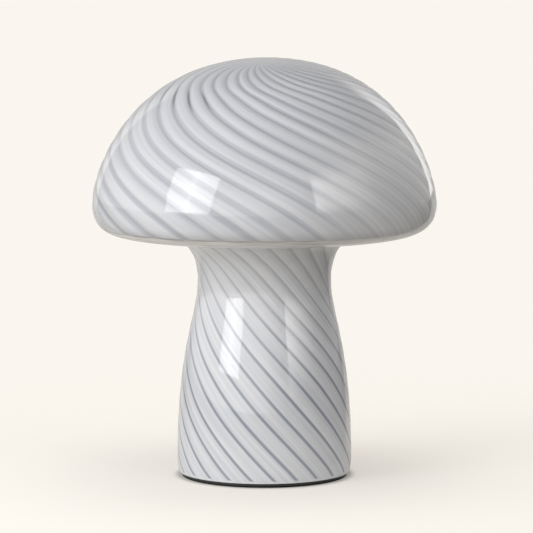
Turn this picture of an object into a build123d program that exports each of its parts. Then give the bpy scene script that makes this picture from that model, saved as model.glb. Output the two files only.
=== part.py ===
from build123d import *
from math import asin, cos, radians, sin, sqrt
import os

# Mushroom table lamp: a blown glass mushroom that lifts off a black base with a small lampholder.
# Millimetres. +Z is up, -Y is the front, and the origin is on the table under the middle of the lamp.

# Glass body: outer profile, heights above its own foot
glass_height = 228.2
cap_radius = 94.7
cap_edge_height = 148.4      # where the cap is widest
crown_handle = 76.1          # how far the top of the cap stays level
shoulder_handle = 15.6       # how far its side stays upright above the widest place
edge_handle = 13.8           # and below it
underside_radius = 73.0      # where the rolled edge has become the cap's underside
underside_height = 130.5
underside_handle = 12.1
underside_slope = 2.6        # degrees, falling towards the stem
neck_handle = 10.0
neck_drop_handle = 32.0
waist_radius = 36.8
waist_height = 105.6
waist_handle = 18.9
hip_radius = 48.2
hip_height = 8.1
hip_handle = 61.0
foot_inset = 0.7             # how far the foot draws in below the hip
glass_wall = 3.5
foot_outer_round = 1.2
foot_inner_round = 0.6

# Cord inlet in the back of the glass foot
cord_passage_radius = 3.3
bush_wall = 1.1
bush_flange = 2.0
bush_flange_thickness = 1.2
bush_clearance = 0.05
bush_groove_clearance = 0.15
bush_lift = 0.2              # the bush ends just above the gasket

# Base
pad_thickness = 0.8
pad_inset = 1.9              # from the outside of the glass foot
pad_width = 8.6
plate_thickness = 1.2
plate_inset = 1.5            # from the outside of the glass foot
plate_rise = 2.5             # how far the middle of the disc is pressed up
rim_width = 10.0             # from the disc's edge to its raised deck
deck_slope_run = 2.5
deck_bend = 1.6
gasket_thickness = 0.4
gasket_inset = 1.7           # from the outside of the glass foot
gasket_width = 3.2

# Spring clips
clip_count = 3
clip_start_angle = 30.0
clip_thickness = 0.5
clip_width = 8.0
clip_foot_length = 8.0
clip_foot_setback = 2.0      # from the edge of the deck
clip_crest_height = 9.8      # of the outward crest, above the deck
clip_tip_height = 18.5
clip_tip_inset = 3.4
clip_bend = 1.5
clip_clearance = 0.3         # between the sleeves and the glass
sleeve_wall = 0.7
sleeve_clearance = 0.05
sleeve_start = 0.55          # share of the rising arm that stays bare

# Rivets
rivet_radius = 1.6
rivet_hole_clearance = 0.05
rivet_head_radius = 3.0
rivet_head_height = 1.0
clip_rivet_inset = 3.6       # from the inner end of a clip's foot

# Bracket and threaded tube
bracket_height = 31.5
bracket_width = 14.0
bracket_thickness = 1.5
bracket_span = 28.0          # between the outer faces of its legs
bracket_foot = 11.0
bracket_bend = 2.4
nipple_radius = 5.0
nipple_bore = 3.75
nipple_above = 9.0
nipple_below = 5.6
thread_clearance = 0.05
washer_radius = 9.0
washer_thickness = 0.8
washer_teeth = 12
nut_flats = 14.0
nut_thickness = 3.0

# Lampholder for a small screw cap
holder_radius = 13.5
holder_neck_radius = 7.5
holder_neck_length = 5.0
holder_shoulder_radius = 4.5
holder_cap_height = 18.0
holder_floor_height = 10.0
holder_wall = 2.2
holder_post_radius = 1.8
holder_post_pitch = 8.6
shell_length = 30.0
shell_band_length = 11.0
shell_top_radius = 11.6
shell_top_round = 1.2
shell_bore_radius = 7.6
shell_bore_length = 15.0
shell_grooves = 18
shell_groove_radius = 0.8
shell_groove_depth = 0.5
neck_screw_height = 3.0
neck_screw_radius = 1.45
neck_screw_length = 3.4
screw_slot_width = 0.5
screw_slot_depth = 0.7
insert_clearance = 0.1
insert_thickness = 6.0
insert_bottom_height = 16.0
wire_slot_pitch = 5.5
wire_slot_length = 5.0
wire_slot_width = 2.6
contact_thickness = 0.4
contact_width = 4.0
contact_end_gap = 0.3        # between the contact strips' outer ends and the holder's wall
contact_rise = 1.6           # of the tongue under the bulb
tongue_start = 3.0
tongue_run = 2.0
tongue_end = 2.2
side_contact_gap = 0.25      # from the bulb's screw cap
side_contact_height = 8.8
contact_bend = 0.5
terminal_radius = 1.25
terminal_head_radius = 1.9
terminal_head_height = 1.5
terminal_end = 0.4           # of the screws, above the strips
terminal_clearance = 0.05

# Bulb
bulb_contact_gap = 0.1
bulb_contact_radius = 2.4
bulb_contact_height = 1.4
bulb_contact_round = 0.8
insulator_height = 3.4
insulator_top_radius = 6.0
screw_cap_radius = 6.9
screw_cap_wall = 0.45
screw_cap_bottom = 4.2       # above the bulb's tip
screw_cap_length = 20.0
thread_pitch = 2.82
thread_depth = 0.4
thread_turns = 5
thread_start = 1.8
collar_spigot_length = 9.0
collar_spigot_clearance = 0.1
collar_neck_overhang = 0.7
collar_length = 16.3
collar_neck_handle = 5.0
collar_rim_handle = 6.0
collar_rim_radius = 16.8
collar_rim_height = 1.6
globe_radius = 22.5
globe_wall = 1.2
board_clearance = 0.75
board_thickness = 1.0
led_count = 8
led_pitch = 9.0
led_size = 2.8
led_height = 0.6

# Radii that follow from the glass foot
foot_radius = hip_radius - foot_inset
plate_radius = foot_radius - plate_inset
deck_radius = plate_radius - rim_width
gasket_radius = foot_radius - gasket_inset
pad_radius = foot_radius - pad_inset
pad_inner_radius = pad_radius - pad_width
clip_foot_end = deck_radius - clip_foot_setback
clip_foot_start = clip_foot_end - clip_foot_length

# Heights that follow from the stack of pieces, from the table up
rim_bottom = pad_thickness
rim_top = rim_bottom + plate_thickness
deck_bottom = rim_bottom + plate_rise
deck_top = deck_bottom + plate_thickness
foot_z = rim_top + gasket_thickness
bracket_top = deck_top + bracket_height
holder_split = bracket_top + holder_cap_height
holder_top = holder_split + shell_length
insert_bottom = bracket_top + insert_bottom_height
insert_top = insert_bottom + insert_thickness
tongue_top = insert_top + contact_thickness + contact_rise
bulb_tip = tongue_top + bulb_contact_gap

os.makedirs("parts", exist_ok=True)


def finish(part, name):
    """Name a finished piece and write it to its own file."""
    part.label = name
    export_step(part, f"parts/{name}.step")


def inset_curve(curve, distance, samples=6):
    """Curve that runs beside a profile curve, on its right-hand side, at a constant distance."""
    points = []
    for i in range(samples):
        place = i / (samples - 1)
        tangent = curve.tangent_at(place)
        points.append(curve.position_at(place) + Vector(tangent.Y, -tangent.X) * distance)
    return Spline(*points, tangents=(curve.tangent_at(0), curve.tangent_at(1)))


def ring(inner, outer, bottom, thickness, mode=Mode.ADD):
    """Flat ring around the lamp's axis."""
    with BuildSketch(Plane.XY.offset(bottom)) as outline:
        Circle(outer)
        Circle(inner, mode=Mode.SUBTRACT)
    extrude(outline.sketch, amount=thickness, mode=mode)


# ---- Glass body: cap and stem blown in one, with an open ground foot and a notch at the back ----

apex_z = foot_z + glass_height
edge_z = foot_z + cap_edge_height
under_z = foot_z + underside_height
waist_z = foot_z + waist_height
hip_z = foot_z + hip_height
under = Vector(underside_radius, under_z)
slope = Vector(cos(radians(underside_slope)), sin(radians(underside_slope)))

crown = Bezier(
    (0, apex_z), (crown_handle, apex_z), (cap_radius, edge_z + shoulder_handle), (cap_radius, edge_z))
edge = Bezier(
    (cap_radius, edge_z), (cap_radius, edge_z - edge_handle), under + slope * underside_handle, under)
neck = Bezier(
    under, under - slope * neck_handle, (waist_radius, waist_z + neck_drop_handle), (waist_radius, waist_z))
stem = Bezier(
    (waist_radius, waist_z), (waist_radius, waist_z - waist_handle),
    (hip_radius, hip_z + hip_handle), (hip_radius, hip_z))
foot = Bezier(
    (hip_radius, hip_z), (hip_radius, foot_z + hip_height / 2),
    (foot_radius, foot_z + hip_height / 4), (foot_radius, foot_z))

inlet_axis_z = foot_z + cord_passage_radius
notch_radius = cord_passage_radius + bush_wall
bush_reach = bush_flange_thickness + bush_groove_clearance
inlet_outer = max(hip_radius, foot_radius) + bush_reach
inlet_inner = min(hip_radius, foot_radius) - glass_wall - bush_reach
inlet_plane = Plane.XZ.offset(-inlet_outer)
inlet_depth = inlet_outer - inlet_inner


def inlet_outline(radius, bottom):
    """Round-topped slot around the middle of the cord passage, flat at its bottom."""
    with BuildLine() as outline:
        Polyline((-radius, inlet_axis_z), (-radius, bottom), (radius, bottom), (radius, inlet_axis_z))
        ThreePointArc((radius, inlet_axis_z), (0, inlet_axis_z + radius), (-radius, inlet_axis_z))
    make_face(outline.edges())


with BuildPart() as glass_body:
    with BuildSketch(Plane.XZ) as glass_section:
        with BuildLine():
            add([crown, edge, neck, stem, foot])
            inner = [inset_curve(curve, glass_wall) for curve in (crown, edge, neck, stem, foot)]
            Line(crown @ 0, inner[0] @ 0)
            Line(foot @ 1, inner[-1] @ 1)
        make_face()
        fillet(glass_section.vertices().group_by(Axis.Y)[0].sort_by(Axis.X)[-1], foot_outer_round)
        fillet(glass_section.vertices().group_by(Axis.Y)[0].sort_by(Axis.X)[0], foot_inner_round)
    revolve(axis=Axis.Z, clean=False)
    with BuildSketch(inlet_plane):
        inlet_outline(notch_radius, foot_z - 1)
    extrude(amount=inlet_depth, mode=Mode.SUBTRACT, clean=False)
finish(glass_body.part, "glass_body")

# ---- Cord inlet: soft bush that lines the notch and grips the glass on both faces ----

with BuildPart() as cord_inlet_bush:
    bush_bottom = foot_z + bush_lift
    with BuildSketch(inlet_plane):
        inlet_outline(notch_radius + bush_flange, bush_bottom)
    extrude(amount=inlet_depth)
    with BuildSketch(Plane.XZ):
        with BuildLine():
            beyond = [inset_curve(curve, -bush_groove_clearance) for curve in (stem, foot)]
            within = [inset_curve(curve, glass_wall + bush_groove_clearance) for curve in (stem, foot)]
            Line(beyond[0] @ 0, within[0] @ 0)
            Line(beyond[-1] @ 1, within[-1] @ 1)
        make_face()
    revolve(axis=Axis.Z, mode=Mode.SUBTRACT)
    with BuildSketch(inlet_plane):
        inlet_outline(notch_radius - bush_clearance, bush_bottom)
    extrude(amount=inlet_depth)
    with BuildSketch(inlet_plane):
        inlet_outline(cord_passage_radius, foot_z - 1)
    extrude(amount=inlet_depth, mode=Mode.SUBTRACT)
finish(cord_inlet_bush.part, "cord_inlet_bush")

# ---- Base: anti-slip ring, pressed disc with a raised deck, and the gasket under the glass ----

with BuildPart() as foot_pad:
    ring(pad_inner_radius, pad_radius, 0, pad_thickness)
finish(foot_pad.part, "foot_pad")

clip_angles = [clip_start_angle + i * 360 / clip_count for i in range(clip_count)]
clip_rivet_radius = clip_foot_start + clip_rivet_inset
clip_rivet_places = [
    (clip_rivet_radius * cos(radians(angle)), clip_rivet_radius * sin(radians(angle)))
    for angle in clip_angles]
bracket_rivet_x = (bracket_span + bracket_foot) / 2 + bracket_bend / 2
bracket_rivet_places = [(-bracket_rivet_x, 0), (bracket_rivet_x, 0)]
rivet_hole_radius = rivet_radius + rivet_hole_clearance

with BuildPart() as base_plate:
    with BuildSketch(Plane.XZ):
        with BuildLine():
            middle = plate_thickness / 2
            FilletPolyline(
                (0, deck_bottom + middle), (deck_radius, deck_bottom + middle),
                (deck_radius + deck_slope_run, rim_bottom + middle), (plate_radius, rim_bottom + middle),
                radius=deck_bend)
        trace(line_width=plate_thickness)
    revolve(axis=Axis.Z)
    with BuildSketch(Plane.XY.offset(deck_bottom)):
        with Locations(*clip_rivet_places, *bracket_rivet_places):
            Circle(rivet_hole_radius)
    extrude(amount=plate_thickness, mode=Mode.SUBTRACT)
finish(base_plate.part, "base_plate")

with BuildPart() as seat_gasket:
    ring(gasket_radius - gasket_width, gasket_radius, rim_top, gasket_thickness)
finish(seat_gasket.part, "seat_gasket")

# ---- Spring clips: bent leaves that centre the glass, each with a soft sleeve on its crest ----

clip_foot_z = deck_top + clip_thickness / 2
clip_crest = Vector(
    foot_radius - glass_wall - clip_clearance - sleeve_wall - clip_thickness / 2,
    deck_top + clip_crest_height)
clip_tip = Vector(clip_crest.X - clip_tip_inset, deck_top + clip_tip_height)
clip_heel = Vector(clip_foot_end, clip_foot_z)
sleeve_heel = clip_heel + (clip_crest - clip_heel) * sleeve_start


def leaf(plane, points, thickness, width, mode=Mode.ADD):
    """Bent strip whose middle line runs through the points of a plane."""
    with BuildSketch(plane) as outline:
        with BuildLine() as middle_line:
            FilletPolyline(*points, radius=clip_bend)
        trace(middle_line.line, line_width=thickness)
    extrude(outline.sketch, amount=width / 2, both=True, mode=mode)


for number, angle in enumerate(clip_angles, start=1):
    outward = Vector(cos(radians(angle)), sin(radians(angle)), 0)
    clip_plane = Plane(origin=(0, 0, 0), x_dir=outward, z_dir=outward.cross(Vector(0, 0, 1)))

    with BuildPart() as spring_clip:
        leaf(clip_plane, [(clip_foot_start, clip_foot_z), clip_heel, clip_crest, clip_tip],
             clip_thickness, clip_width)
        with BuildSketch(Plane.XY.offset(deck_top)):
            with Locations(clip_rivet_places[number - 1]):
                Circle(rivet_hole_radius)
        extrude(amount=clip_thickness, mode=Mode.SUBTRACT)
    finish(spring_clip.part, f"spring_clip_{number}")

    with BuildPart() as clip_sleeve:
        leaf(clip_plane, [sleeve_heel, clip_crest, clip_tip],
             clip_thickness + 2 * sleeve_wall, clip_width + 2 * sleeve_wall)
        leaf(clip_plane, [sleeve_heel, clip_crest, clip_tip],
             clip_thickness + 2 * sleeve_clearance, clip_width + 2 * sleeve_clearance, Mode.SUBTRACT)
    finish(clip_sleeve.part, f"clip_sleeve_{number}")

# ---- Bracket: bent strip that stands on the deck and carries the lampholder ----

bracket_middle = bracket_thickness / 2
bracket_leg_x = bracket_span / 2 - bracket_middle
bracket_end_x = bracket_span / 2 + bracket_foot

with BuildPart() as holder_bracket:
    with BuildSketch(Plane.XZ):
        with BuildLine():
            FilletPolyline(
                (-bracket_end_x, deck_top + bracket_middle), (-bracket_leg_x, deck_top + bracket_middle),
                (-bracket_leg_x, bracket_top - bracket_middle), (bracket_leg_x, bracket_top - bracket_middle),
                (bracket_leg_x, deck_top + bracket_middle), (bracket_end_x, deck_top + bracket_middle),
                radius=bracket_bend)
        trace(line_width=bracket_thickness)
    extrude(amount=bracket_width / 2, both=True)
    with BuildSketch(Plane.XY.offset(deck_top)):
        with Locations(*bracket_rivet_places):
            Circle(rivet_hole_radius)
    extrude(amount=bracket_thickness, mode=Mode.SUBTRACT)
    with BuildSketch(Plane.XY.offset(bracket_top)):
        Circle(nipple_radius + thread_clearance)
    extrude(amount=-bracket_thickness, mode=Mode.SUBTRACT)
finish(holder_bracket.part, "holder_bracket")

# ---- Rivets: five alike, domed at both ends, through the deck ----

dome_radius = (rivet_head_radius ** 2 + rivet_head_height ** 2) / (2 * rivet_head_height)
dome_half_angle = asin(rivet_head_radius / dome_radius) / 2
dome_middle_x = dome_radius * sin(dome_half_angle)
dome_middle_drop = dome_radius * (1 - cos(dome_half_angle))


def make_rivet(grip):
    """Rivet whose lower head sits at height 0 and whose upper head sits at the grip."""
    low = -rivet_head_height
    high = grip + rivet_head_height
    with BuildPart() as blank:
        with BuildSketch(Plane.XZ):
            with BuildLine():
                ThreePointArc((0, low), (dome_middle_x, low + dome_middle_drop), (rivet_head_radius, 0))
                Polyline((rivet_head_radius, 0), (rivet_radius, 0), (rivet_radius, grip),
                         (rivet_head_radius, grip))
                ThreePointArc((rivet_head_radius, grip), (dome_middle_x, high - dome_middle_drop), (0, high))
                Line((0, high), (0, low))
            make_face()
        revolve(axis=Axis.Z)
    return blank.part


clip_rivet = make_rivet(plate_thickness + clip_thickness)
bracket_rivet = make_rivet(plate_thickness + bracket_thickness)

with BuildPart() as base_rivets:
    with Locations(*[(x, y, deck_bottom) for x, y in clip_rivet_places]):
        add(clip_rivet)
    with Locations(*[(x, y, deck_bottom) for x, y in bracket_rivet_places]):
        add(bracket_rivet)
finish(base_rivets.part, "base_rivets")

# ---- Threaded tube, toothed washer and nut that clamp the lampholder to the bracket ----

nipple_bottom = bracket_top - bracket_thickness - nipple_below
washer_top = bracket_top - bracket_thickness
nut_top = washer_top - washer_thickness

with BuildPart() as holder_nipple:
    ring(nipple_bore, nipple_radius, nipple_bottom, bracket_top + nipple_above - nipple_bottom)
    chamfer(holder_nipple.edges().filter_by(GeomType.CIRCLE).group_by(SortBy.RADIUS)[-1], 0.5)
finish(holder_nipple.part, "holder_nipple")

with BuildPart() as lock_washer:
    ring(nipple_radius + thread_clearance, washer_radius, nut_top, washer_thickness)
    with BuildSketch(Plane.XY.offset(nut_top)):
        with PolarLocations(washer_radius, washer_teeth):
            Rectangle(2.4, 1.6)
    extrude(amount=washer_thickness, mode=Mode.SUBTRACT)
finish(lock_washer.part, "lock_washer")

with BuildPart() as lock_nut:
    with BuildSketch(Plane.XY.offset(nut_top)):
        RegularPolygon(nut_flats / 2, 6, major_radius=False)
        Circle(nipple_radius + thread_clearance, mode=Mode.SUBTRACT)
    extrude(amount=-nut_thickness)
finish(lock_nut.part, "lock_nut")

# ---- Lampholder: two shells around a terminal block with springy contacts ----

holder_cavity = holder_radius - holder_wall
holder_floor = bracket_top + holder_floor_height
terminal_x = holder_cavity - contact_end_gap - terminal_head_radius
contact_end = holder_cavity - contact_end_gap
terminal_places = [(-terminal_x, 0), (terminal_x, 0)]

with BuildPart() as holder_cap:
    with BuildSketch(Plane.XZ):
        shoulder_z = bracket_top + holder_neck_length + holder_shoulder_radius
        shoulder_x = holder_radius - holder_shoulder_radius
        diagonal = holder_shoulder_radius * sin(radians(45))
        entry = nipple_radius + thread_clearance
        with BuildLine():
            Polyline(
                (entry, holder_floor), (entry, bracket_top), (holder_neck_radius, bracket_top),
                (holder_neck_radius, bracket_top + holder_neck_length),
                (shoulder_x, bracket_top + holder_neck_length))
            ThreePointArc(
                (shoulder_x, bracket_top + holder_neck_length),
                (shoulder_x + diagonal, shoulder_z - diagonal), (holder_radius, shoulder_z))
            Polyline(
                (holder_radius, shoulder_z), (holder_radius, holder_split), (holder_cavity, holder_split),
                (holder_cavity, holder_floor), (entry, holder_floor))
        make_face()
    revolve(axis=Axis.Z)
    with BuildSketch(Plane.XY.offset(holder_floor)):
        with PolarLocations(holder_post_pitch, 2, start_angle=90):
            Circle(holder_post_radius)
    extrude(amount=insert_bottom - holder_floor)
    with BuildSketch(Plane.YZ):
        with Locations((0, bracket_top + neck_screw_height)):
            Circle(neck_screw_radius + thread_clearance)
    extrude(amount=holder_radius, mode=Mode.SUBTRACT)
finish(holder_cap.part, "holder_cap")

with BuildPart() as neck_screw:
    with BuildSketch(Plane.YZ.offset(nipple_radius + thread_clearance)):
        with Locations((0, bracket_top + neck_screw_height)):
            Circle(neck_screw_radius)
    extrude(amount=neck_screw_length)
    with BuildSketch(Plane.YZ.offset(nipple_radius + thread_clearance + neck_screw_length)):
        with Locations((0, bracket_top + neck_screw_height)):
            Rectangle(2 * neck_screw_radius, screw_slot_width)
    extrude(amount=-screw_slot_depth, mode=Mode.SUBTRACT)
finish(neck_screw.part, "neck_screw")

with BuildPart() as holder_insert:
    with BuildSketch(Plane.XY.offset(insert_bottom)):
        Circle(holder_cavity - insert_clearance)
        with Locations(*terminal_places):
            Circle(terminal_radius + terminal_clearance, mode=Mode.SUBTRACT)
        with Locations((0, -wire_slot_pitch), (0, wire_slot_pitch)):
            Rectangle(wire_slot_length, wire_slot_width, mode=Mode.SUBTRACT)
    extrude(amount=insert_thickness)
finish(holder_insert.part, "holder_insert")

with BuildPart() as holder_shell:
    with BuildSketch(Plane.XZ) as shell_section:
        with BuildLine():
            Polyline(
                (holder_cavity, holder_split), (holder_radius, holder_split),
                (holder_radius, holder_split + shell_band_length), (shell_top_radius, holder_top),
                (shell_bore_radius, holder_top), (shell_bore_radius, holder_top - shell_bore_length),
                (holder_cavity, holder_top - shell_bore_length), close=True)
        make_face()
        fillet(shell_section.vertices().group_by(Axis.Y)[-1].sort_by(Axis.X)[-1], shell_top_round)
    revolve(axis=Axis.Z)
    with BuildSketch(Plane.XY.offset(holder_split)):
        with PolarLocations(holder_radius + shell_groove_radius - shell_groove_depth, shell_grooves):
            Circle(shell_groove_radius)
    extrude(amount=shell_band_length, mode=Mode.SUBTRACT)
finish(holder_shell.part, "holder_shell")

contact_z = insert_top + contact_thickness / 2
tongue_z = tongue_top - contact_thickness / 2
side_contact_x = screw_cap_radius + side_contact_gap + contact_thickness / 2


def contact_strip(points, terminal):
    """Bent strip of sheet with a hole for its terminal screw."""
    with BuildSketch(Plane.XZ) as outline:
        with BuildLine() as middle_line:
            FilletPolyline(*points, radius=contact_bend)
        trace(middle_line.line, line_width=contact_thickness)
    extrude(outline.sketch, amount=contact_width / 2, both=True)
    with BuildSketch(Plane.XY.offset(insert_top)) as hole:
        with Locations(terminal):
            Circle(terminal_radius + terminal_clearance)
    extrude(hole.sketch, amount=contact_thickness, mode=Mode.SUBTRACT)


with BuildPart() as centre_contact:
    contact_strip([(-contact_end, contact_z), (-tongue_start, contact_z),
                   (tongue_run - tongue_start, tongue_z), (tongue_end, tongue_z)], terminal_places[0])
finish(centre_contact.part, "centre_contact")

with BuildPart() as side_contact:
    contact_strip([(contact_end, contact_z), (side_contact_x, contact_z),
                   (side_contact_x, contact_z + side_contact_height)], terminal_places[1])
finish(side_contact.part, "side_contact")

with BuildPart() as terminal_screws:
    with BuildSketch(Plane.XY.offset(insert_bottom)):
        with Locations(*terminal_places):
            Circle(terminal_radius)
    extrude(amount=insert_thickness + contact_thickness + terminal_end)
    with BuildSketch(Plane.XY.offset(insert_bottom)):
        with Locations(*terminal_places):
            Circle(terminal_head_radius)
    extrude(amount=-terminal_head_height)
    with BuildSketch(Plane.XY.offset(insert_bottom - terminal_head_height)):
        with Locations(*terminal_places):
            Rectangle(screw_slot_width, 2 * terminal_head_radius)
    extrude(amount=screw_slot_depth, mode=Mode.SUBTRACT)
finish(terminal_screws.part, "terminal_screws")

# ---- Bulb: screw cap, insulator and contact, housing, light source and opal globe ----

screw_cap_z = bulb_tip + screw_cap_bottom
collar_z = screw_cap_z + screw_cap_length
collar_top = collar_z + collar_length
thread_valley = screw_cap_radius - thread_depth
screw_cap_bore = thread_valley - screw_cap_wall
insulator_z = bulb_tip + bulb_contact_height
globe_z = collar_top + sqrt(globe_radius ** 2 - collar_rim_radius ** 2)
globe_seat_inner = sqrt((globe_radius - globe_wall) ** 2 - (globe_z - collar_top) ** 2)

with BuildPart() as bulb_contact:
    with BuildSketch(Plane.XY.offset(bulb_tip)):
        Circle(bulb_contact_radius)
    extrude(amount=bulb_contact_height)
    fillet(bulb_contact.edges().group_by(Axis.Z)[0], bulb_contact_round)
finish(bulb_contact.part, "bulb_contact")

with BuildPart() as bulb_insulator:
    with BuildSketch(Plane.XZ):
        with BuildLine():
            Polyline(
                (0, insulator_z), (bulb_contact_radius, insulator_z), (insulator_top_radius, screw_cap_z),
                (insulator_top_radius, insulator_z + insulator_height), (0, insulator_z + insulator_height),
                close=True)
        make_face()
    revolve(axis=Axis.Z)
finish(bulb_insulator.part, "bulb_insulator")

with BuildPart() as bulb_screw_cap:
    with BuildSketch(Plane.XZ):
        with BuildLine():
            thread_z = screw_cap_z + thread_start
            Polyline((screw_cap_bore, screw_cap_z), (thread_valley, screw_cap_z), (thread_valley, thread_z))
            for turn in range(thread_turns):
                start = thread_z + turn * thread_pitch
                ThreePointArc(
                    (thread_valley, start), (screw_cap_radius, start + thread_pitch / 2),
                    (thread_valley, start + thread_pitch))
            Polyline(
                (thread_valley, thread_z + thread_turns * thread_pitch), (thread_valley, collar_z),
                (screw_cap_bore, collar_z), (screw_cap_bore, screw_cap_z))
        make_face()
    revolve(axis=Axis.Z)
finish(bulb_screw_cap.part, "bulb_screw_cap")

with BuildPart() as bulb_collar:
    with BuildSketch(Plane.XZ):
        spigot = screw_cap_bore - collar_spigot_clearance
        neck_radius = screw_cap_radius + collar_neck_overhang
        rim_z = collar_top - collar_rim_height
        with BuildLine():
            Polyline(
                (0, collar_top), (0, collar_z - collar_spigot_length), (spigot, collar_z - collar_spigot_length),
                (spigot, collar_z), (neck_radius, collar_z))
            Bezier(
                (neck_radius, collar_z), (neck_radius, collar_z + collar_neck_handle),
                (collar_rim_radius, rim_z - collar_rim_handle), (collar_rim_radius, rim_z))
            Polyline((collar_rim_radius, rim_z), (collar_rim_radius, collar_top), (0, collar_top))
        make_face()
    revolve(axis=Axis.Z)
finish(bulb_collar.part, "bulb_collar")

with BuildPart() as bulb_led_board:
    with BuildSketch(Plane.XY.offset(collar_top)):
        Circle(globe_seat_inner - board_clearance)
    extrude(amount=board_thickness)
    with BuildSketch(Plane.XY.offset(collar_top + board_thickness)):
        with PolarLocations(led_pitch, led_count):
            Rectangle(led_size, led_size)
    extrude(amount=led_height)
finish(bulb_led_board.part, "bulb_led_board")

with BuildPart() as bulb_globe:
    with BuildSketch(Plane.XZ):
        inner_radius = globe_radius - globe_wall
        with BuildLine():
            ThreePointArc((0, globe_z + globe_radius), (globe_radius, globe_z), (collar_rim_radius, collar_top))
            Line((collar_rim_radius, collar_top), (globe_seat_inner, collar_top))
            ThreePointArc((globe_seat_inner, collar_top), (inner_radius, globe_z), (0, globe_z + inner_radius))
            Line((0, globe_z + inner_radius), (0, globe_z + globe_radius))
        make_face()
    revolve(axis=Axis.Z)
finish(bulb_globe.part, "bulb_globe")
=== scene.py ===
from math import cos, hypot, pi, radians, sin

import bpy
import bmesh
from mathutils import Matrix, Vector


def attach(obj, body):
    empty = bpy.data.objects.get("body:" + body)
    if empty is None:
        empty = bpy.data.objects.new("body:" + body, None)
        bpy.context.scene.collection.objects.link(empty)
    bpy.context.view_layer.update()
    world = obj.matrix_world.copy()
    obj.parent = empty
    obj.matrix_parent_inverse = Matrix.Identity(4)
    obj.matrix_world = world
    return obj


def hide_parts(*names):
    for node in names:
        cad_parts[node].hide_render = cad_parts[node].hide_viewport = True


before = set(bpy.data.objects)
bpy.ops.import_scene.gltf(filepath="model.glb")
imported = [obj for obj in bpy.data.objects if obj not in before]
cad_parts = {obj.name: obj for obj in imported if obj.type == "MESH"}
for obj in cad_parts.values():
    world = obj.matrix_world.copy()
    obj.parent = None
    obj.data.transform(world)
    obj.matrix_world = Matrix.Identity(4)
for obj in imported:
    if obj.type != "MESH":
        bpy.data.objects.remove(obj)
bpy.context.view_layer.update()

# ---- Anti-slip ring ----
# The ring that the lamp stands on: closed-cell foam rubber, die-cut from sheet and stuck
# under the rim of the base disc. Soft, matt and nearly black, with a fine cell structure.


def linear(hex_colour):
    """sRGB hex colour as linear red, green, blue and alpha."""
    parts = [int(hex_colour[i:i + 2], 16) / 255 for i in (1, 3, 5)]
    return [c / 12.92 if c <= 0.04045 else ((c + 0.055) / 1.055) ** 2.4 for c in parts] + [1.0]


def put(tree, kind, wires=None, **settings):
    """Adds one node with its settings. wires sets its inputs, each to a value or an output."""
    node = tree.nodes.new("ShaderNode" + kind)
    for name, value in settings.items():
        setattr(node, name, value)
    for socket, value in (wires or {}).items():
        if isinstance(value, bpy.types.NodeSocket):
            tree.links.new(value, node.inputs[socket])
        else:
            node.inputs[socket].default_value = value
    return node


def new_finish(name, **constants):
    """Material with one Principled shader. Returns the material, its tree and the shader."""
    material = bpy.data.materials.new(name)
    material.use_nodes = True
    tree = material.node_tree
    tree.nodes.clear()
    shader = put(tree, "BsdfPrincipled", {k.replace("_", " "): v for k, v in constants.items()})
    put(tree, "OutputMaterial", {"Surface": shader.outputs[0]})
    return material, tree, shader


def grain(tree, shader, per_mm, shades, rough, depth_mm, stretch=(1, 1, 1)):
    """Fine variation of colour, gloss and height, with a scale in features per millimetre."""
    place = put(tree, "TexCoord").outputs["Object"]
    across = put(tree, "Mapping", {"Vector": place, "Scale": stretch}).outputs[0]
    noise = put(tree, "TexNoise", {"Vector": across, "Scale": per_mm * 1000, "Detail": 3.0})
    colour = put(tree, "ValToRGB", {"Fac": noise.outputs[0]})
    for stop, position, shade in zip(colour.color_ramp.elements, (0.3, 0.7), shades):
        stop.position, stop.color = position, linear(shade)
    gloss = put(tree, "MapRange", {"Value": noise.outputs[0],
                                   "To Min": rough[0], "To Max": rough[1]})
    relief = put(tree, "Bump", {"Height": noise.outputs[0], "Distance": depth_mm / 1000})
    tree.links.new(colour.outputs[0], shader.inputs["Base Color"])
    tree.links.new(gloss.outputs[0], shader.inputs["Roughness"])
    tree.links.new(relief.outputs[0], shader.inputs["Normal"])


def dress(material, *nodes):
    """Gives CAD nodes a finish."""
    for name in nodes:
        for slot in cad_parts[name].material_slots:
            slot.material = material


# Foam rubber scatters light in its cut cells: no gloss, a little lighter where cells are open.
foam_rubber, tree, shader = new_finish("die_cut_foam_rubber", Specular_IOR_Level=0.2)
grain(tree, shader, 2.5, ("#0f1011", "#191b1c"), (0.85, 0.98), 0.12)
dress(foam_rubber, "foot_pad", "seat_gasket")

# ---- Base disc ----
# Deep-drawn sheet-steel disc with a raised deck, coated with black polyester powder and baked.
# It weighs the lamp down and carries the glass, the springs and the lampholder.

# Powder coat flows out to a satin black with a fine orange peel about 0.8 mm across.
powder_coat, tree, shader = new_finish("black_powder_coat", Coat_Weight=0.15, Coat_Roughness=0.35)
grain(tree, shader, 1.2, ("#151618", "#1c1d20"), (0.42, 0.55), 0.03)
dress(powder_coat, "base_plate")

# ---- Leaf springs ----
# Three hardened carbon-steel leaves, bent and riveted to the deck. They press outward on the
# inside of the glass foot and keep it centred. Blued a little by the tempering.

# Rolled strip shows fine straight marks along its length, and straw and blue temper colours.
spring_steel, tree, shader = new_finish("tempered_spring_steel", Metallic=1.0)
grain(tree, shader, 1.6, ("#6f747c", "#a09d97"), (0.24, 0.38), 0.01, stretch=(1, 1, 0.12))
dress(spring_steel, "spring_clip_1", "spring_clip_2", "spring_clip_3")

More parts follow.
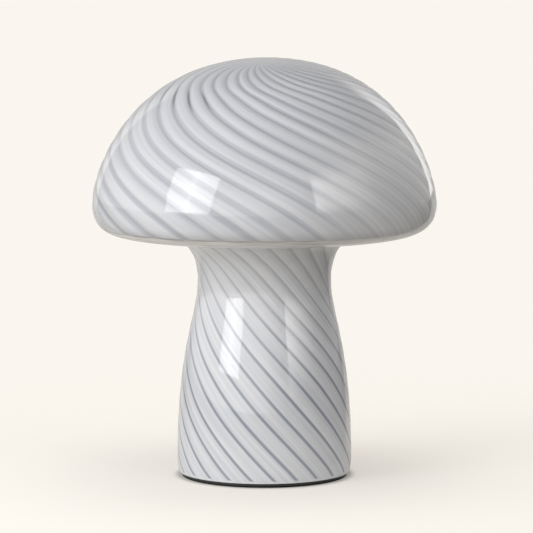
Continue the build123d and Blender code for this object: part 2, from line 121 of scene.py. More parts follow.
# The tips wear slipped-on silicone tube, so that steel never touches glass.
# Silicone is milky, soft and slightly dusty.
silicone, tree, shader = new_finish(
    "extruded_silicone", Subsurface_Weight=0.3, Subsurface_Scale=0.002,
    Subsurface_Radius=(1.0, 1.0, 1.0), Sheen_Weight=0.15)
grain(tree, shader, 1.0, ("#c3c5c4", "#d6d7d5"), (0.45, 0.6), 0.02)
dress(silicone, "clip_sleeve_1", "clip_sleeve_2", "clip_sleeve_3")

# ---- Rivets, bracket and threaded tube ----
# The bent strip that carries the lampholder, its hollow threaded tube, washer, nut and the
# set screw, all of zinc-plated steel, and the round-headed rivets that hold them on the deck.

# Bright zinc is bluish and has soft cloudy spangles a few millimetres wide.
zinc_plate, tree, shader = new_finish("zinc_plated_steel", Metallic=1.0)
grain(tree, shader, 0.35, ("#9fa5ab", "#c2c5c6"), (0.28, 0.46), 0.015)
dress(zinc_plate, "holder_bracket", "holder_nipple", "lock_washer", "lock_nut", "neck_screw",
      "terminal_screws")

# Rivets are barrel-polished and nickel-plated: brighter and warmer than the zinc.
nickel_plate, tree, shader = new_finish("barrel_polished_nickel", Metallic=1.0)
grain(tree, shader, 0.8, ("#a9a69f", "#c9c5bc"), (0.16, 0.3), 0.008)
dress(nickel_plate, "base_rivets")

# ---- Lampholder ----
# Two moulded halves that screw together round a terminal block, black heat-resistant
# thermoplastic outside and white glass-filled polyester inside.

# Moulded from a spark-eroded tool: matt black with a fine even texture.
holder_moulding, tree, shader = new_finish("spark_textured_thermoplastic")
grain(tree, shader, 2.0, ("#1d1e20", "#27282b"), (0.5, 0.66), 0.02)
dress(holder_moulding, "holder_cap", "holder_shell")

# Glass fibre close to the surface gives the white block faint swirls and a dry sheen.
block_moulding, tree, shader = new_finish("glass_filled_polyester")
grain(tree, shader, 0.5, ("#d2cfc6", "#e3e0d8"), (0.5, 0.65), 0.01, stretch=(1, 1, 0.3))
dress(block_moulding, "holder_insert")

# The contact strips are stamped from rolled brass, dulled a little at the bends.
brass, tree, shader = new_finish("stamped_brass", Metallic=1.0)
grain(tree, shader, 1.4, ("#a8863f", "#cfae62"), (0.22, 0.38), 0.008, stretch=(1, 1, 0.2))
dress(brass, "centre_contact", "side_contact")

# ---- Bulb ----
# Small screw-in bulb: nickel-plated brass cap with a rolled thread, black glass insulator with
# a drop of solder, white housing, the board of light sources and a frosted opal globe.

# The rolled cap is shiny nickel with rub marks round its thread.
bulb_cap, tree, shader = new_finish("rolled_nickel_cap", Metallic=1.0)
grain(tree, shader, 1.5, ("#aeaaa2", "#cbc7bf"), (0.18, 0.34), 0.01, stretch=(0.15, 0.15, 1))
dress(bulb_cap, "bulb_screw_cap")

# Vitrite is black glass poured hot into the cap: glossy with slow ripples.
vitrite, tree, shader = new_finish("black_vitrite", IOR=1.52)
grain(tree, shader, 0.6, ("#101014", "#1a1a20"), (0.12, 0.24), 0.03)
dress(vitrite, "bulb_insulator")

# Tin solder freezes dull and slightly wrinkled.
solder, tree, shader = new_finish("frozen_tin_solder", Metallic=1.0)
grain(tree, shader, 1.8, ("#8f9090", "#b4b4b1"), (0.34, 0.52), 0.03)
dress(solder, "bulb_contact")

# The housing is white polycarbonate with a satin moulded surface.
housing, tree, shader = new_finish("satin_polycarbonate", IOR=1.58)
grain(tree, shader, 1.2, ("#dcdcd8", "#e8e8e4"), (0.38, 0.5), 0.01)
dress(housing, "bulb_collar")

# The board is aluminium under white solder mask, almost without gloss.
board, tree, shader = new_finish("white_solder_mask")
grain(tree, shader, 2.0, ("#dfe0dc", "#ecece8"), (0.5, 0.62), 0.01)
dress(board, "bulb_led_board")

# The globe is diffusing polycarbonate: milky all through, with a soft sheen.
globe, tree, shader = new_finish(
    "diffusing_polycarbonate", IOR=1.58, Subsurface_Weight=0.4, Subsurface_Scale=0.006,
    Subsurface_Radius=(1.0, 1.0, 1.0))
grain(tree, shader, 0.25, ("#e6e5df", "#efeee9"), (0.34, 0.44), 0.01)
dress(globe, "bulb_globe")

# ---- Cord inlet bush ----
# Milky silicone moulding pressed into the notch of the foot. Its two flanges grip the glass.

dress(silicone, "cord_inlet_bush")

# ---- Blown glass mushroom ----
# One gather of opal glass ribbed in an optic mould, cased in clear glass, then blown and turned
# so that its 24 ribs swirl. Cap and stem are one piece; the foot is cut, ground and fire-polished.

mm = 0.001
crown_height = 230.6
edge_radius, edge_height = 94.7, 150.8
neck_radius, hip_radius = 36.8, 48.2
foot_radius, foot_plane = 47.5, 2.4
wall = 3.5
rib_count = 24
per_rib = 14
columns = rib_count * per_rib

# The profile, from the crown down: four corner points for each smooth stretch, (radius, height),
# and the number of steps in each.
stretches = (
    ((0, crown_height), (76.1, crown_height), (edge_radius, 166.4), (edge_radius, edge_height)),
    ((edge_radius, edge_height), (edge_radius, 137.0), (85.09, 133.45), (73.0, 132.9)),
    ((73.0, 132.9), (63.01, 132.45), (neck_radius, 140.0), (neck_radius, 108.0)),
    ((neck_radius, 108.0), (neck_radius, 89.1), (hip_radius, 71.5), (hip_radius, 10.5)),
    ((hip_radius, 10.5), (hip_radius, 6.45), (foot_radius, 4.425), (foot_radius, foot_plane)))
steps = (60, 24, 30, 44, 6)

# Distances along the profile from the crown's middle: to the cap's lowest line, to the neck, and
# to the foot.
cap_end, neck_at, foot_at = 136, 212, 327.6

# How far the ribs are turned, in degrees, at a distance along the profile from the crown: by 0.8
# degrees a millimetre at the knot and by 1.1 to 1.5 beyond it. Most of these pairs, and the four
# angles below them, are a separate program's fit to the ribs in the photograph.
turned = ((0, -24), (20, -8), (40, 14), (52, 31.7), (64, 46.2), (76, 60.6), (88, 74.6), (100, 89.5),
          (112, 105.2), (124, 121), (cap_end, 136), (168, 173), (204, 213), (neck_at, 224.8),
          (240, 262), (268, 295.1), (292, 320.8), (foot_at, 360.6))

# The gather ran a little ahead on one side of the cap, so the ribs are closer there.
ahead, ahead_side = 30.8, 39
ripple, ripple_side = -3.6, 22

# The knot of the twist sits a little in front of the crown's middle, and the cap leans slightly.
knot = (-3.0, -18.0)
lean_top, lean_from = 1.5, 160
lean_edge, underside, underside_reach = -0.6, 133, 12


def curve_point(corners, t):
    """Point and outward normal of one stretch of the profile."""
    (a, b, c, d) = (Vector(p) for p in corners)
    point = a * (1 - t) ** 3 + b * 3 * (1 - t) ** 2 * t + c * 3 * (1 - t) * t ** 2 + d * t ** 3
    slope = (b - a) * (1 - t) ** 2 + (c - b) * 2 * (1 - t) * t + (d - c) * t ** 2
    slope.normalize()
    return point, Vector((-slope.y, slope.x))


def between(pairs, x):
    """Smooth value through (place, value) pairs."""
    xs = [p[0] for p in pairs]
    i = max(0, min(len(xs) - 2, next((k for k, v in enumerate(xs) if v > x), len(xs)) - 1))
    rise = [(pairs[k + 1][1] - pairs[k][1]) / (xs[k + 1] - xs[k]) for k in range(len(xs) - 1)]
    start = (rise[i] + rise[max(0, i - 1)]) / 2
    end = (rise[i] + rise[min(len(rise) - 1, i + 1)]) / 2
    width = xs[i + 1] - xs[i]
    t = (x - xs[i]) / width
    return (pairs[i][1] * (1 + 2 * t) * (1 - t) ** 2 + start * width * t * (1 - t) ** 2
            + pairs[i + 1][1] * t * t * (3 - 2 * t) + end * width * t * t * (t - 1))


profile = []
along = 0.0
for corners, count in zip(stretches, steps):
    for k in range(count + 1):
        point, normal = curve_point(corners, k / count)
        if profile and k == 0:
            continue
        if profile:
            along += (point - profile[-1][0]).length
        profile.append((point, normal, along))


def height_at(radius):
    """Height of the crown's outer surface at a radius."""
    for (a, _, _), (b, _, _) in zip(profile, profile[1:]):
        if a.x <= radius <= b.x:
            return a.y + (b.y - a.y) * (radius - a.x) / max(b.x - a.x, 1e-9)
    return edge_height


def smooth(start, end, x):
    """0 before start, 1 after end and smooth between them."""
    t = min(1.0, max(0.0, (x - start) / (end - start)))
    return t * t * (3 - 2 * t)


def azimuth_of(rib, s):
    """Azimuth in degrees at which a rib passes a distance along the profile, by Newton steps."""
    share = 1 - smooth(cap_end, neck_at, s)
    goal = rib * 360 / rib_count + between(turned, min(s, foot_at))
    azimuth = goal
    for _ in range(12):
        once, twice = radians(azimuth - ahead_side), radians(2 * azimuth - ripple_side)
        skew = ahead * sin(once) + ripple * sin(twice)
        slope = radians(ahead * cos(once) + 2 * ripple * cos(twice))
        azimuth -= (azimuth + share * skew - goal) / (1 + share * slope)
    return azimuth


def lean(z):
    """Sideways offset of the cap's crown and of its lower edge."""
    if z > lean_from:
        return lean_top * ((z - lean_from) / (crown_height - lean_from)) ** 1.5
    return lean_edge * (1 - smooth(0, underside_reach, abs(z - underside)))


def ring_of(radius, height, s, on_crown):
    """One ring of the blown surface, in millimetres, with its points where the ribs pass."""
    share = max(0.0, 1 - (radius / edge_radius) ** 2) ** 1.5 if on_crown else 0.0
    ring = []
    for j in range(columns if radius > 0.01 else 1):
        turn = radians(azimuth_of(j / per_rib, s))
        x = radius * sin(turn) + knot[0] * share
        y = -radius * cos(turn) + knot[1] * share
        z = height_at(hypot(x, y)) if on_crown else height
        ring.append((x + lean(z), y, z))
    return ring


# From the crown down the outside, across the ground foot, and up the inside.
rings = []
for point, normal, s in profile:
    on_crown = s < cap_end and point.x < edge_radius - 0.1
    rings.append((ring_of(point.x, point.y, s, on_crown), s))
for radius, s in ((46.3, 328.8), (44.6, 330.5)):
    rings.append((ring_of(radius, foot_plane, 330, False), s))
for point, normal, s in reversed(profile[:-1:2]):
    inside = point - normal * wall
    rings.append((ring_of(max(0.0, inside.x), inside.y, s, False), s))

vertices, faces, marks, starts = [], [], [], []
for ring, s in rings:
    starts.append(len(vertices))
    vertices.extend((x * mm, y * mm, z * mm) for x, y, z in ring)
for i in range(len(rings) - 1):
    for j in range(columns):
        places = ((i, j), (i + 1, j), (i + 1, j + 1), (i, j + 1))
        if len(rings[i][0]) == 1:
            places = places[:3]
        elif len(rings[i + 1][0]) == 1:
            places = (places[0], places[1], places[3])
        faces.append([starts[r] + c % len(rings[r][0]) for r, c in places])
        marks.append([(c / per_rib, rings[r][1] / 100) for r, c in places])

# The marks on the mesh count ribs across and hundreds of millimetres down the profile.
mesh = bpy.data.meshes.new("swirl_glass")
mesh.from_pydata(vertices, [], faces)
ribs = mesh.uv_layers.new(name="ribs")
for face, corners in zip(mesh.polygons, marks):
    for loop, mark in zip(face.loop_indices, corners):
        ribs.data[loop].uv = mark
mesh.shade_smooth()

# The clear casing is smooth; the ribs stand out of the glass by half a millimetre on the cap and
# less on the stem, inside and outside, and fade into the knot, the cap's edge and the foot.
casing = mesh.attributes.new("casing", "FLOAT_VECTOR", "CORNER")
normals = [vertex.normal.copy() for vertex in mesh.vertices]
for corner, loop in zip(casing.data, mesh.loops):
    corner.vector = normals[loop.vertex_index]
rib_depth_cap, rib_depth_stem = 0.5, 0.18
for (ring, s), start in zip(rings, starts):
    clear_edge = max(1 - smooth(138, 152, s), smooth(170, 196, s))
    depth = rib_depth_cap + (rib_depth_stem - rib_depth_cap) * smooth(196, 235, s)
    depth *= smooth(4, 60, s) * clear_edge * (1 - smooth(300, 322, s))
    for j in range(len(ring)):
        sunk = 1 - abs(cos(pi * j / per_rib))
        mesh.vertices[start + j].co -= normals[start + j] * depth * sunk * mm
swirl_glass = bpy.data.objects.new("swirl_glass", mesh)
bpy.context.scene.collection.objects.link(swirl_glass)

# Opal glass under clear glass: milky white ribs with thinner, greyer glass between them. The
# clear casing stays smooth and mirrors its surroundings, while the ribs below it are shaded.
opal, tree, shader = new_finish(
    "cased_opal_glass", IOR=1.5, Roughness=0.5, Coat_Weight=1.0, Coat_Roughness=0.015,
    Coat_IOR=1.6, Specular_IOR_Level=0.2)
rib_place = put(tree, "SeparateXYZ", {"Vector": put(tree, "UVMap", uv_map="ribs").outputs[0]})
across, down = rib_place.outputs[0], rib_place.outputs[1]
place = put(tree, "SeparateXYZ", {"Vector": put(tree, "TexCoord").outputs["Object"]})
side, behind_axis = place.outputs[0], place.outputs[1]
turns = put(tree, "Math", {0: across, 1: 2 * pi}, operation="MULTIPLY").outputs[0]
wave = put(tree, "Math", {0: turns}, operation="COSINE").outputs[0]
ridge = put(tree, "MapRange", {"Value": wave, "From Min": -1.0, "From Max": 1.0}).outputs[0]
on_stem = put(tree, "MapRange", {"Value": down, "From Min": 1.7, "From Max": 2.0}).outputs[0]
gap_width = put(tree, "MapRange", {"Value": on_stem, "To Min": 0.45, "To Max": 0.16}).outputs[0]
gap = put(tree, "MapRange", {"Value": ridge, "From Min": 0.0, "From Max": gap_width,
                             "To Min": 1.0, "To Max": 0.0},
          interpolation_type="SMOOTHSTEP").outputs[0]

# The ribs fade into the knot at the crown and into the thick clear glass of the cap's edge, and the
# foot's polished rim is white. On the lower right of the cap the ribs are faded and the colour is
# paler: a painted reflection of the light mirrored there.
from_knot = put(tree, "MapRange", {"Value": down, "From Min": 0.0, "From Max": 0.22},
                interpolation_type="SMOOTHSTEP").outputs[0]
above_edge = put(tree, "MapRange", {"Value": down, "From Min": 1.5, "From Max": 1.515,
                                    "To Min": 1.0, "To Max": 0.0},
                 interpolation_type="SMOOTHSTEP").outputs[0]
below_edge = put(tree, "MapRange", {"Value": down, "From Min": 1.68, "From Max": 1.9},
                 interpolation_type="SMOOTHSTEP").outputs[0]
off_edge = put(tree, "Math", {0: above_edge, 1: below_edge}, operation="MAXIMUM").outputs[0]
above_foot = put(tree, "MapRange", {"Value": down, "From Min": 3.257, "From Max": 3.27,
                                    "To Min": 1.0, "To Max": 0.0},
                 interpolation_type="SMOOTHSTEP").outputs[0]
# Painted reflection: the ribs fade on the lower right of the cap, between the crown and the stem.
outside_painted_wash = put(tree, "MapRange", {"Value": side, "From Min": 0.01, "From Max": 0.07,
                                "To Min": 1.0, "To Max": 0.4},
             interpolation_type="SMOOTHSTEP").outputs[0]
crown_part = put(tree, "MapRange", {"Value": down, "From Min": 0.8, "From Max": 1.1,
                                    "To Min": 1.0, "To Max": 0.0},
                 interpolation_type="SMOOTHSTEP").outputs[0]
for part in (crown_part, on_stem):
    outside_painted_wash = put(tree, "Math", {0: outside_painted_wash, 1: part}, operation="MAXIMUM").outputs[0]
painted_wash_side = put(tree, "Math", {0: 1.0, 1: outside_painted_wash}, operation="SUBTRACT").outputs[0]
shown = from_knot
for part in (off_edge, outside_painted_wash, above_foot):
    shown = put(tree, "Math", {0: shown, 1: part}, operation="MULTIPLY").outputs[0]

# Streaks run along the ribs, where the two glasses were drawn out together. On the lower right of
# the cap, inside the painted reflection, three fine lines to each rib show beside them.
round_angle = put(tree, "Math", {0: across, 1: 2 * pi / rib_count},
                  operation="MULTIPLY").outputs[0]
streak_place = put(tree, "CombineXYZ", {
    0: put(tree, "Math", {0: round_angle}, operation="COSINE").outputs[0],
    1: put(tree, "Math", {0: round_angle}, operation="SINE").outputs[0], 2: down}).outputs[0]
drawn = put(tree, "Mapping", {"Vector": streak_place, "Scale": (18, 18, 0.9)}).outputs[0]
streaks = put(tree, "TexNoise", {"Vector": drawn, "Scale": 1.0, "Detail": 4.0}).outputs[0]
fine = put(tree, "Math", {0: turns, 1: 3.0}, operation="MULTIPLY").outputs[0]
fine = put(tree, "Math", {0: fine}, operation="COSINE").outputs[0]
for part in (0.3, painted_wash_side):
    fine = put(tree, "Math", {0: fine, 1: part}, operation="MULTIPLY").outputs[0]
streaks = put(tree, "Math", {0: streaks, 1: fine}, operation="ADD").outputs[0]
white = put(tree, "ValToRGB", {"Fac": streaks})
for stop, position, shade in zip(white.color_ramp.elements, (0.32, 0.68), ("#c4c7cd", "#d6d8dc")):
    stop.position, stop.color = position, linear(shade)

# Between the ribs the glass is greyer, and most of all low on the stem.
strength = put(tree, "MapRange", {"Value": on_stem, "To Min": 0.35, "To Max": 0.44}).outputs[0]
lower_stem = put(tree, "MapRange", {"Value": down, "From Min": 2.1, "From Max": 2.9,
                                    "To Min": 0.0, "To Max": 0.38},
                 interpolation_type="SMOOTHSTEP").outputs[0]
strength = put(tree, "Math", {0: strength, 1: lower_stem}, operation="ADD").outputs[0]
grey_gap = gap
for part in (strength, shown):
    grey_gap = put(tree, "Math", {0: grey_gap, 1: part}, operation="MULTIPLY").outputs[0]
ribbed = put(tree, "Mix", {0: grey_gap, 6: white.outputs[0], 7: linear("#7b8291")},
             data_type="RGBA").outputs[2]

# In the edge the clear glass is thick: slightly warm, with streaks that run round the cap.
drawn_round = put(tree, "Mapping", {"Vector": streak_place, "Scale": (3, 3, 60)}).outputs[0]
edge_streaks = put(tree, "TexNoise", {"Vector": drawn_round, "Scale": 1.0, "Detail": 2.0})
clear = put(tree, "ValToRGB", {"Fac": edge_streaks.outputs[0]})
for stop, position, shade in zip(clear.color_ramp.elements, (0.38, 0.62), ("#c0bebc", "#dbd9d7")):
    stop.position, stop.color = position, linear(shade)
tint = put(tree, "Mix", {0: off_edge, 6: clear.outputs[0], 7: ribbed}, data_type="RGBA").outputs[2]

# On the shoulder at the front left a few gaps are drawn in deep and look nearly black. The neck
# is whiter, and the lower right of the cap is painted paler as a painted reflection. A faint grey
# line follows the cap's edge.
accent = put(tree, "MapRange", {"Value": ridge, "From Min": 0.0, "From Max": 0.1,
                                "To Min": 0.6, "To Max": 0.0},
             interpolation_type="SMOOTHSTEP").outputs[0]
for value, start, end, low, high in (
        (down, 0.46, 0.54, 0.0, 1.0), (down, 0.58, 0.7, 1.0, 0.0),
        (side, -0.066, -0.056, 0.0, 1.0), (side, -0.034, -0.024, 1.0, 0.0),
        (behind_axis, -0.02, 0.0, 1.0, 0.0)):
    part = put(tree, "MapRange", {"Value": value, "From Min": start, "From Max": end,
                                  "To Min": low, "To Max": high},
               interpolation_type="SMOOTHSTEP").outputs[0]
    accent = put(tree, "Math", {0: accent, 1: part}, operation="MULTIPLY").outputs[0]
neck = put(tree, "MapRange", {"Value": down, "From Min": 2.0, "From Max": 2.5,
                              "To Min": 0.22, "To Max": 0.0},
           interpolation_type="SMOOTHSTEP").outputs[0]
neck = put(tree, "Math", {0: neck, 1: on_stem}, operation="MULTIPLY").outputs[0]
# Painted reflection: the lower right of the cap is mixed half way to white.
painted_wash = put(tree, "Math", {0: painted_wash_side, 1: 0.5}, operation="MULTIPLY").outputs[0]
contour = put(tree, "MapRange", {"Value": down, "From Min": 1.44, "From Max": 1.5},
              interpolation_type="SMOOTHSTEP").outputs[0]
for part in (above_edge, 0.25):
    contour = put(tree, "Math", {0: contour, 1: part}, operation="MULTIPLY").outputs[0]
for amount, shade in ((accent, "#33363d"), (neck, "#f0efee"), (painted_wash, "#f0efee"),
                      (contour, "#8f8c8b")):
    tint = put(tree, "Mix", {0: amount, 6: tint, 7: linear(shade)}, data_type="RGBA").outputs[2]
tree.links.new(tint, shader.inputs["Base Color"])

# The ribs are round-backed: strong on the cap, faint on the stem, narrow at the crown.
rounded = put(tree, "Math", {0: ridge, 1: 0.01}, operation="ADD").outputs[0]
rounded = put(tree, "Math", {0: rounded, 1: 0.5}, operation="POWER").outputs[0]
swell = put(tree, "MapRange", {"Value": on_stem, "To Min": 1.0, "To Max": 0.12}).outputs[0]
rib_width = put(tree, "MapRange", {"Value": down, "From Min": 0.0, "From Max": 1.1}).outputs[0]
for part in (shown, rib_width, rounded):
    swell = put(tree, "Math", {0: swell, 1: part}, operation="MULTIPLY").outputs[0]
relief = put(tree, "Bump", {"Height": swell, "Distance": 1.1 * mm, "Strength": 1.0}).outputs[0]
tree.links.new(relief, shader.inputs["Normal"])
smooth_casing = put(tree, "Attribute", attribute_name="casing").outputs["Vector"]
smooth_casing = put(tree, "VectorTransform", {"Vector": smooth_casing}, vector_type="NORMAL",
                    convert_from="OBJECT", convert_to="WORLD").outputs[0]
tree.links.new(smooth_casing, shader.inputs["Coat Normal"])
mesh.materials.append(opal)

# The arch cut in the foot at the back, for the cord: as wide as the bush that lines it.
notch_radius, notch_middle = 4.4, foot_plane + 3.3
notch_from, notch_to = 40, 55
arc_steps = 16
arch = [(-notch_radius, foot_plane - 1), (notch_radius, foot_plane - 1)]
arch += [(notch_radius * cos(pi * k / arc_steps),
          notch_middle + notch_radius * sin(pi * k / arc_steps)) for k in range(arc_steps + 1)]
shape = bmesh.new()
front = [shape.verts.new((x * mm, notch_from * mm, z * mm)) for x, z in arch]
back = [shape.verts.new((x * mm, notch_to * mm, z * mm)) for x, z in arch]
shape.faces.new(front)
shape.faces.new(list(reversed(back)))
for k in range(len(arch)):
    n = (k + 1) % len(arch)
    shape.faces.new((front[n], front[k], back[k], back[n]))
bmesh.ops.recalc_face_normals(shape, faces=shape.faces)
cutter_mesh = bpy.data.meshes.new("arch_cutter")
shape.to_mesh(cutter_mesh)
shape.free()
cutter = bpy.data.objects.new("arch_cutter", cutter_mesh)
bpy.context.scene.collection.objects.link(cutter)
cut = swirl_glass.modifiers.new("arch", "BOOLEAN")
cut.operation, cut.object, cut.solver = "DIFFERENCE", cutter, "EXACT"
bpy.context.view_layer.update()
cut_glass = swirl_glass.evaluated_get(bpy.context.evaluated_depsgraph_get())
cut_mesh = bpy.data.meshes.new_from_object(cut_glass)

# The cut faces have no casing of their own: there the gloss follows the face.
for face in cut_mesh.polygons:
    for loop in face.loop_indices:
        if cut_mesh.attributes["casing"].data[loop].vector.length < 0.5:
            cut_mesh.attributes["casing"].data[loop].vector = face.normal
cut_mesh.set_sharp_from_angle(angle=radians(40))
swirl_glass.modifiers.clear()
swirl_glass.data = cut_mesh
bpy.data.objects.remove(cutter)
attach(swirl_glass, "glass")
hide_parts("glass_body")

# ---- Floor, light and camera ----
# Plain pale floor in a pale room: one large soft light at the front left, the faint mirror image
# of a window at the front right, and a darker side to the right of the lamp.

# Horizontal directions across the two ends of the bright wall behind the lamp, on the right and
# on the left, and the direction of the dark side.
wall_ends = ((-0.857, 0.515, 0), (0.857, 0.515, 0))
dark_way = (0.94, -0.34)
backdrop_shade = "#faf6ef"

reach = 14.0
floor_mesh = bpy.data.meshes.new("floor")
floor_mesh.from_pydata([(-reach, -reach, 0), (reach, -reach, 0), (reach, reach, 0),
                        (-reach, reach, 0)], [], [(0, 1, 2, 3)])
floor = bpy.data.objects.new("floor", floor_mesh)
bpy.context.scene.collection.objects.link(floor)

# The paper takes the lamp's shadow near it and turns into plain backdrop further out. It throws
# less light back up on the dark side.
floor_paper, tree, shader = new_finish("pale_floor", Roughness=0.9, Specular_IOR_Level=0.0)
rays = put(tree, "LightPath")
looked_at = put(tree, "Math", {0: rays.outputs["Is Camera Ray"], 1: rays.outputs["Is Glossy Ray"]},
                operation="MAXIMUM").outputs[0]
ground = put(tree, "TexCoord").outputs["Object"]
dim_ground = put(tree, "VectorMath", {0: ground, 1: (*dark_way, 0)}, operation="DOT_PRODUCT")
dim_ground = put(tree, "MapRange", {"Value": dim_ground.outputs["Value"],
                                    "From Min": 0.0, "From Max": 0.3},
                 interpolation_type="SMOOTHSTEP").outputs[0]
bounce = put(tree, "Mix", {0: dim_ground, 6: linear("#f1ede5"), 7: linear("#6e6a64")},
             data_type="RGBA").outputs[2]
away = put(tree, "VectorMath", {0: ground}, operation="LENGTH").outputs["Value"]
distant = put(tree, "MapRange", {"Value": away, "From Min": 0.15, "From Max": 0.5},
              interpolation_type="SMOOTHSTEP").outputs[0]
shadow_paper = put(tree, "Mix", {0: distant, 6: linear("#bab9b6"), 7: linear("#000000")},
                   data_type="RGBA").outputs[2]
paper_shade = put(tree, "Mix", {0: looked_at, 6: bounce, 7: shadow_paper},
                  data_type="RGBA").outputs[2]
# Near the lamp the glow is warmer, so that the shadows there come out warm: painted warm shade.
paper_glow = put(tree, "Mix", {0: distant, 6: linear("#faf4ea"), 7: linear(backdrop_shade)},
                 data_type="RGBA").outputs[2]
tree.links.new(paper_glow, shader.inputs["Emission Color"])
tree.links.new(paper_shade, shader.inputs["Base Color"])

# The glass mirrors the paper weakly in front and more strongly where the bright wall stands.
ends = [put(tree, "VectorMath", {0: ground, 1: way}, operation="DOT_PRODUCT").outputs["Value"]
        for way in wall_ends]
ground_behind = put(tree, "Math", {0: ends[0], 1: ends[1]}, operation="MINIMUM").outputs[0]
mirrored = put(tree, "MapRange", {"Value": ground_behind, "From Min": -0.085, "From Max": -0.07,
                                  "To Min": 0.17, "To Max": 0.62}).outputs[0]
mirrored = put(tree, "Math", {0: rays.outputs["Is Glossy Ray"], 1: mirrored},
               operation="MULTIPLY").outputs[0]
seen = put(tree, "Math", {0: rays.outputs["Is Camera Ray"], 1: mirrored},
           operation="MAXIMUM").outputs[0]

# Painted shadow: the glow sinks towards the lamp, in a narrow and a wide dip, and most where the
# ring touches, as a painted contact shadow.
painted_shadow = 0.0
for depth, spread, power in ((0.16, 0.11, 4.0), (0.05, 0.45, 2.0)):
    fall = put(tree, "Math", {0: away, 1: spread}, operation="DIVIDE").outputs[0]
    fall = put(tree, "Math", {0: fall, 1: power}, operation="POWER").outputs[0]
    fall = put(tree, "Math", {0: fall, 1: 1.0}, operation="ADD").outputs[0]
    fall = put(tree, "Math", {0: depth, 1: fall}, operation="DIVIDE").outputs[0]
    painted_shadow = put(tree, "Math", {0: painted_shadow, 1: fall}, operation="ADD").outputs[0]
# Painted contact shadow in a thin ring just round the foot.
painted_contact_shadow = put(tree, "MapRange", {"Value": away, "From Min": 0.0465, "From Max": 0.0515,
                                  "To Min": 0.3, "To Max": 0.0},
               interpolation_type="SMOOTHSTEP").outputs[0]
painted_shadow = put(tree, "Math", {0: painted_shadow, 1: painted_contact_shadow}, operation="ADD").outputs[0]
paper = put(tree, "Math", {0: 0.685, 1: painted_shadow}, operation="SUBTRACT").outputs[0]
paper = put(tree, "MapRange", {"Value": distant, "To Min": paper, "To Max": 1.0}).outputs[0]
glow = put(tree, "Math", {0: seen, 1: paper}, operation="MULTIPLY").outputs[0]
tree.links.new(glow, shader.inputs["Emission Strength"])
floor_mesh.materials.append(floor_paper)

world = bpy.data.worlds.new("studio")
bpy.context.scene.world = world
world.use_nodes = True
tree = world.node_tree
tree.nodes.clear()
toward = put(tree, "TexCoord").outputs["Generated"]
above = put(tree, "SeparateXYZ", {"Vector": toward}).outputs[2]

# The bright wall behind the lamp: it starts sharply at both ends, falls off between them and
# fades out higher up.
rises, falls = [], []
for way, bright in zip(wall_ends, (2.1, 1.2)):
    inward = put(tree, "VectorMath", {0: toward, 1: way}, operation="DOT_PRODUCT").outputs["Value"]
    rises.append(put(tree, "MapRange", {"Value": inward,
                                        "From Min": 0.0, "From Max": 0.012}).outputs[0])
    falls.append(put(tree, "MapRange", {"Value": inward, "From Min": 0.06, "From Max": 0.32,
                                        "To Min": bright, "To Max": 0.4}).outputs[0])
behind = put(tree, "Math", {0: rises[0], 1: rises[1]}, operation="MINIMUM").outputs[0]
strip = put(tree, "Math", {0: falls[0], 1: falls[1]}, operation="MAXIMUM").outputs[0]
under = put(tree, "MapRange", {"Value": above, "From Min": 0.42, "From Max": 0.6,
                               "To Min": 1.0, "To Max": 0.2},
            interpolation_type="SMOOTHSTEP").outputs[0]
for part in (strip, under):
    behind = put(tree, "Math", {0: behind, 1: part}, operation="MULTIPLY").outputs[0]

# The room: dark towards the lower right, dim overhead, behind and on the left, and a little
# lighter in front on the left.
dim_side = put(tree, "VectorMath", {0: toward, 1: (*dark_way, -0.42)}, operation="DOT_PRODUCT")
room = put(tree, "MapRange", {"Value": dim_side.outputs["Value"], "From Min": 0.12,
                              "From Max": 0.85, "To Min": 1.38, "To Max": 0.04},
           interpolation_type="SMOOTHSTEP").outputs[0]
ceiling = put(tree, "MapRange", {"Value": above, "From Min": 0.35, "From Max": 0.95,
                                 "To Min": 0.0, "To Max": 0.12},
              interpolation_type="SMOOTHSTEP").outputs[0]
shaded_top = put(tree, "MapRange", {"Value": above, "From Min": 0.3, "From Max": 0.8,
                                    "To Min": 1.0, "To Max": 0.32},
                 interpolation_type="SMOOTHSTEP").outputs[0]
room = put(tree, "Math", {0: room, 1: shaded_top}, operation="MULTIPLY").outputs[0]
for way, start, end, there in (((0, 1, 0), 0.3, 0.9, 0.45), ((-1, 0, 0), 0.4, 1.0, 0.8),
                               ((-0.3, -0.8, 0.52), 0.3, 0.95, 1.16)):
    facing = put(tree, "VectorMath", {0: toward, 1: way}, operation="DOT_PRODUCT").outputs["Value"]
    part = put(tree, "MapRange", {"Value": facing, "From Min": start, "From Max": end,
                                  "To Min": 1.0, "To Max": there},
               interpolation_type="SMOOTHSTEP").outputs[0]
    room = put(tree, "Math", {0: room, 1: part}, operation="MULTIPLY").outputs[0]
room = put(tree, "Math", {0: room, 1: ceiling}, operation="MAXIMUM").outputs[0]

# A window far to the right of the camera: a crisp edge on its near side, fading away from it.
window_way = (0.829, 0.559, 0)
near_side = put(tree, "VectorMath", {0: toward, 1: window_way},
                operation="DOT_PRODUCT").outputs["Value"]
in_front = put(tree, "VectorMath", {0: toward, 1: (0, -1, 0)},
               operation="DOT_PRODUCT").outputs["Value"]
window = put(tree, "MapRange", {"Value": near_side, "From Min": 0.0, "From Max": 0.02}).outputs[0]
for value, start, end, low, high in (
        (near_side, 0.05, 0.8, 1.0, 0.0), (in_front, -0.1, 0.2, 0.0, 1.0),
        (above, 0.04, 0.25, 0.0, 1.0), (above, 0.5, 0.65, 1.0, 0.0)):
    part = put(tree, "MapRange", {"Value": value, "From Min": start, "From Max": end,
                                  "To Min": low, "To Max": high}).outputs[0]
    window = put(tree, "Math", {0: window, 1: part}, operation="MULTIPLY").outputs[0]
window = put(tree, "Math", {0: window, 1: 3.8}, operation="MULTIPLY").outputs[0]
level = room
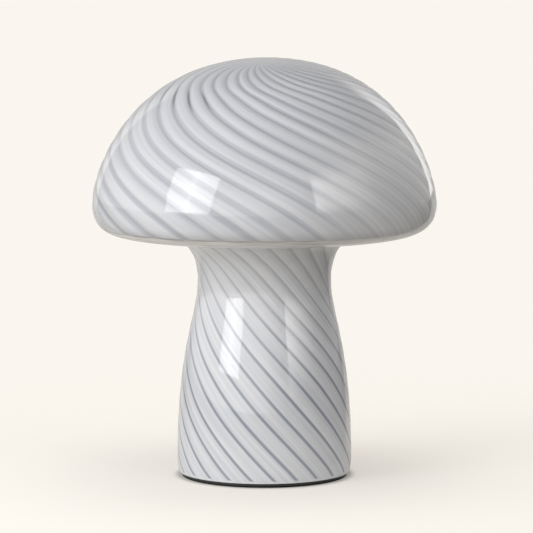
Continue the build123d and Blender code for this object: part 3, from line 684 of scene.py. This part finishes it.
for part in (window, behind):
    level = put(tree, "Math", {0: level, 1: part}, operation="MAXIMUM").outputs[0]
rays = put(tree, "LightPath")
surround = put(tree, "Background", {"Color": linear("#f4f2f0"), "Strength": level})
backdrop = put(tree, "Background", {"Color": linear(backdrop_shade), "Strength": 1.0})
both = put(tree, "MixShader", {0: rays.outputs["Is Camera Ray"], 1: surround.outputs[0],
                               2: backdrop.outputs[0]})
put(tree, "OutputWorld", {"Surface": both.outputs[0]})

# The soft light is aimed at the middle of the lamp. Azimuth runs from the front to the right.
aim = Vector((0, 0, 0.13))
azimuth, elevation, distance = radians(-51), radians(20), 1.3
width, height, radiance = 0.74, 0.76, 7.0
panes = bpy.data.lights.new("soft_left", "AREA")
panes.shape, panes.size, panes.size_y = "RECTANGLE", width, height
panes.energy = radiance * pi * width * height
panes.color = linear("#fbfcff")[:3]
light = bpy.data.objects.new("soft_left", panes)
light.location = aim + distance * Vector(
    (sin(azimuth) * cos(elevation), -cos(azimuth) * cos(elevation), sin(elevation)))
light.rotation_euler = (aim - light.location).to_track_quat("-Z", "Y").to_euler()
bpy.context.scene.collection.objects.link(light)

# Its cloth hangs in two panes and is brightest along the seam between them.
panes.use_nodes = True
tree = panes.node_tree
tree.nodes.clear()
cloth = put(tree, "SeparateXYZ", {"Vector": put(tree, "NewGeometry").outputs["Parametric"]})
off_seam = put(tree, "Math", {0: cloth.outputs[0], 1: 0.5}, operation="SUBTRACT").outputs[0]
off_seam = put(tree, "Math", {0: off_seam}, operation="ABSOLUTE").outputs[0]
seam = put(tree, "MapRange", {"Value": off_seam, "From Min": 0.012, "From Max": 0.03,
                              "To Min": 0.25, "To Max": 0.0}).outputs[0]
cloth_level = put(tree, "MapRange", {"Value": off_seam, "From Min": 0.0, "From Max": 0.5,
                                     "To Min": 0.68, "To Max": 0.45}).outputs[0]
cloth_level = put(tree, "Math", {0: cloth_level, 1: seam}, operation="ADD").outputs[0]
shine = put(tree, "Emission", {"Strength": cloth_level})
put(tree, "OutputLight", {"Surface": shine.outputs[0]})

# A long lens from a little above, shifted by a pixel or two to the photograph's framing.
frame_width, shift_right, shift_up = 533, 2.1, 0.95
camera_data = bpy.data.cameras.new("camera")
camera_data.lens, camera_data.sensor_width = 216.7, 36.0
camera_data.shift_x, camera_data.shift_y = shift_right / frame_width, shift_up / frame_width
camera_data.clip_end = 60
camera = bpy.data.objects.new("camera", camera_data)
camera.location = (0, -1.758, 0.304)
looks_at = Vector((0, 0, 0.115))
camera.rotation_euler = (looks_at - camera.location).to_track_quat("-Z", "Y").to_euler()
bpy.context.scene.collection.objects.link(camera)
bpy.context.scene.camera = camera
bpy.context.scene.view_settings.view_transform = "Standard"
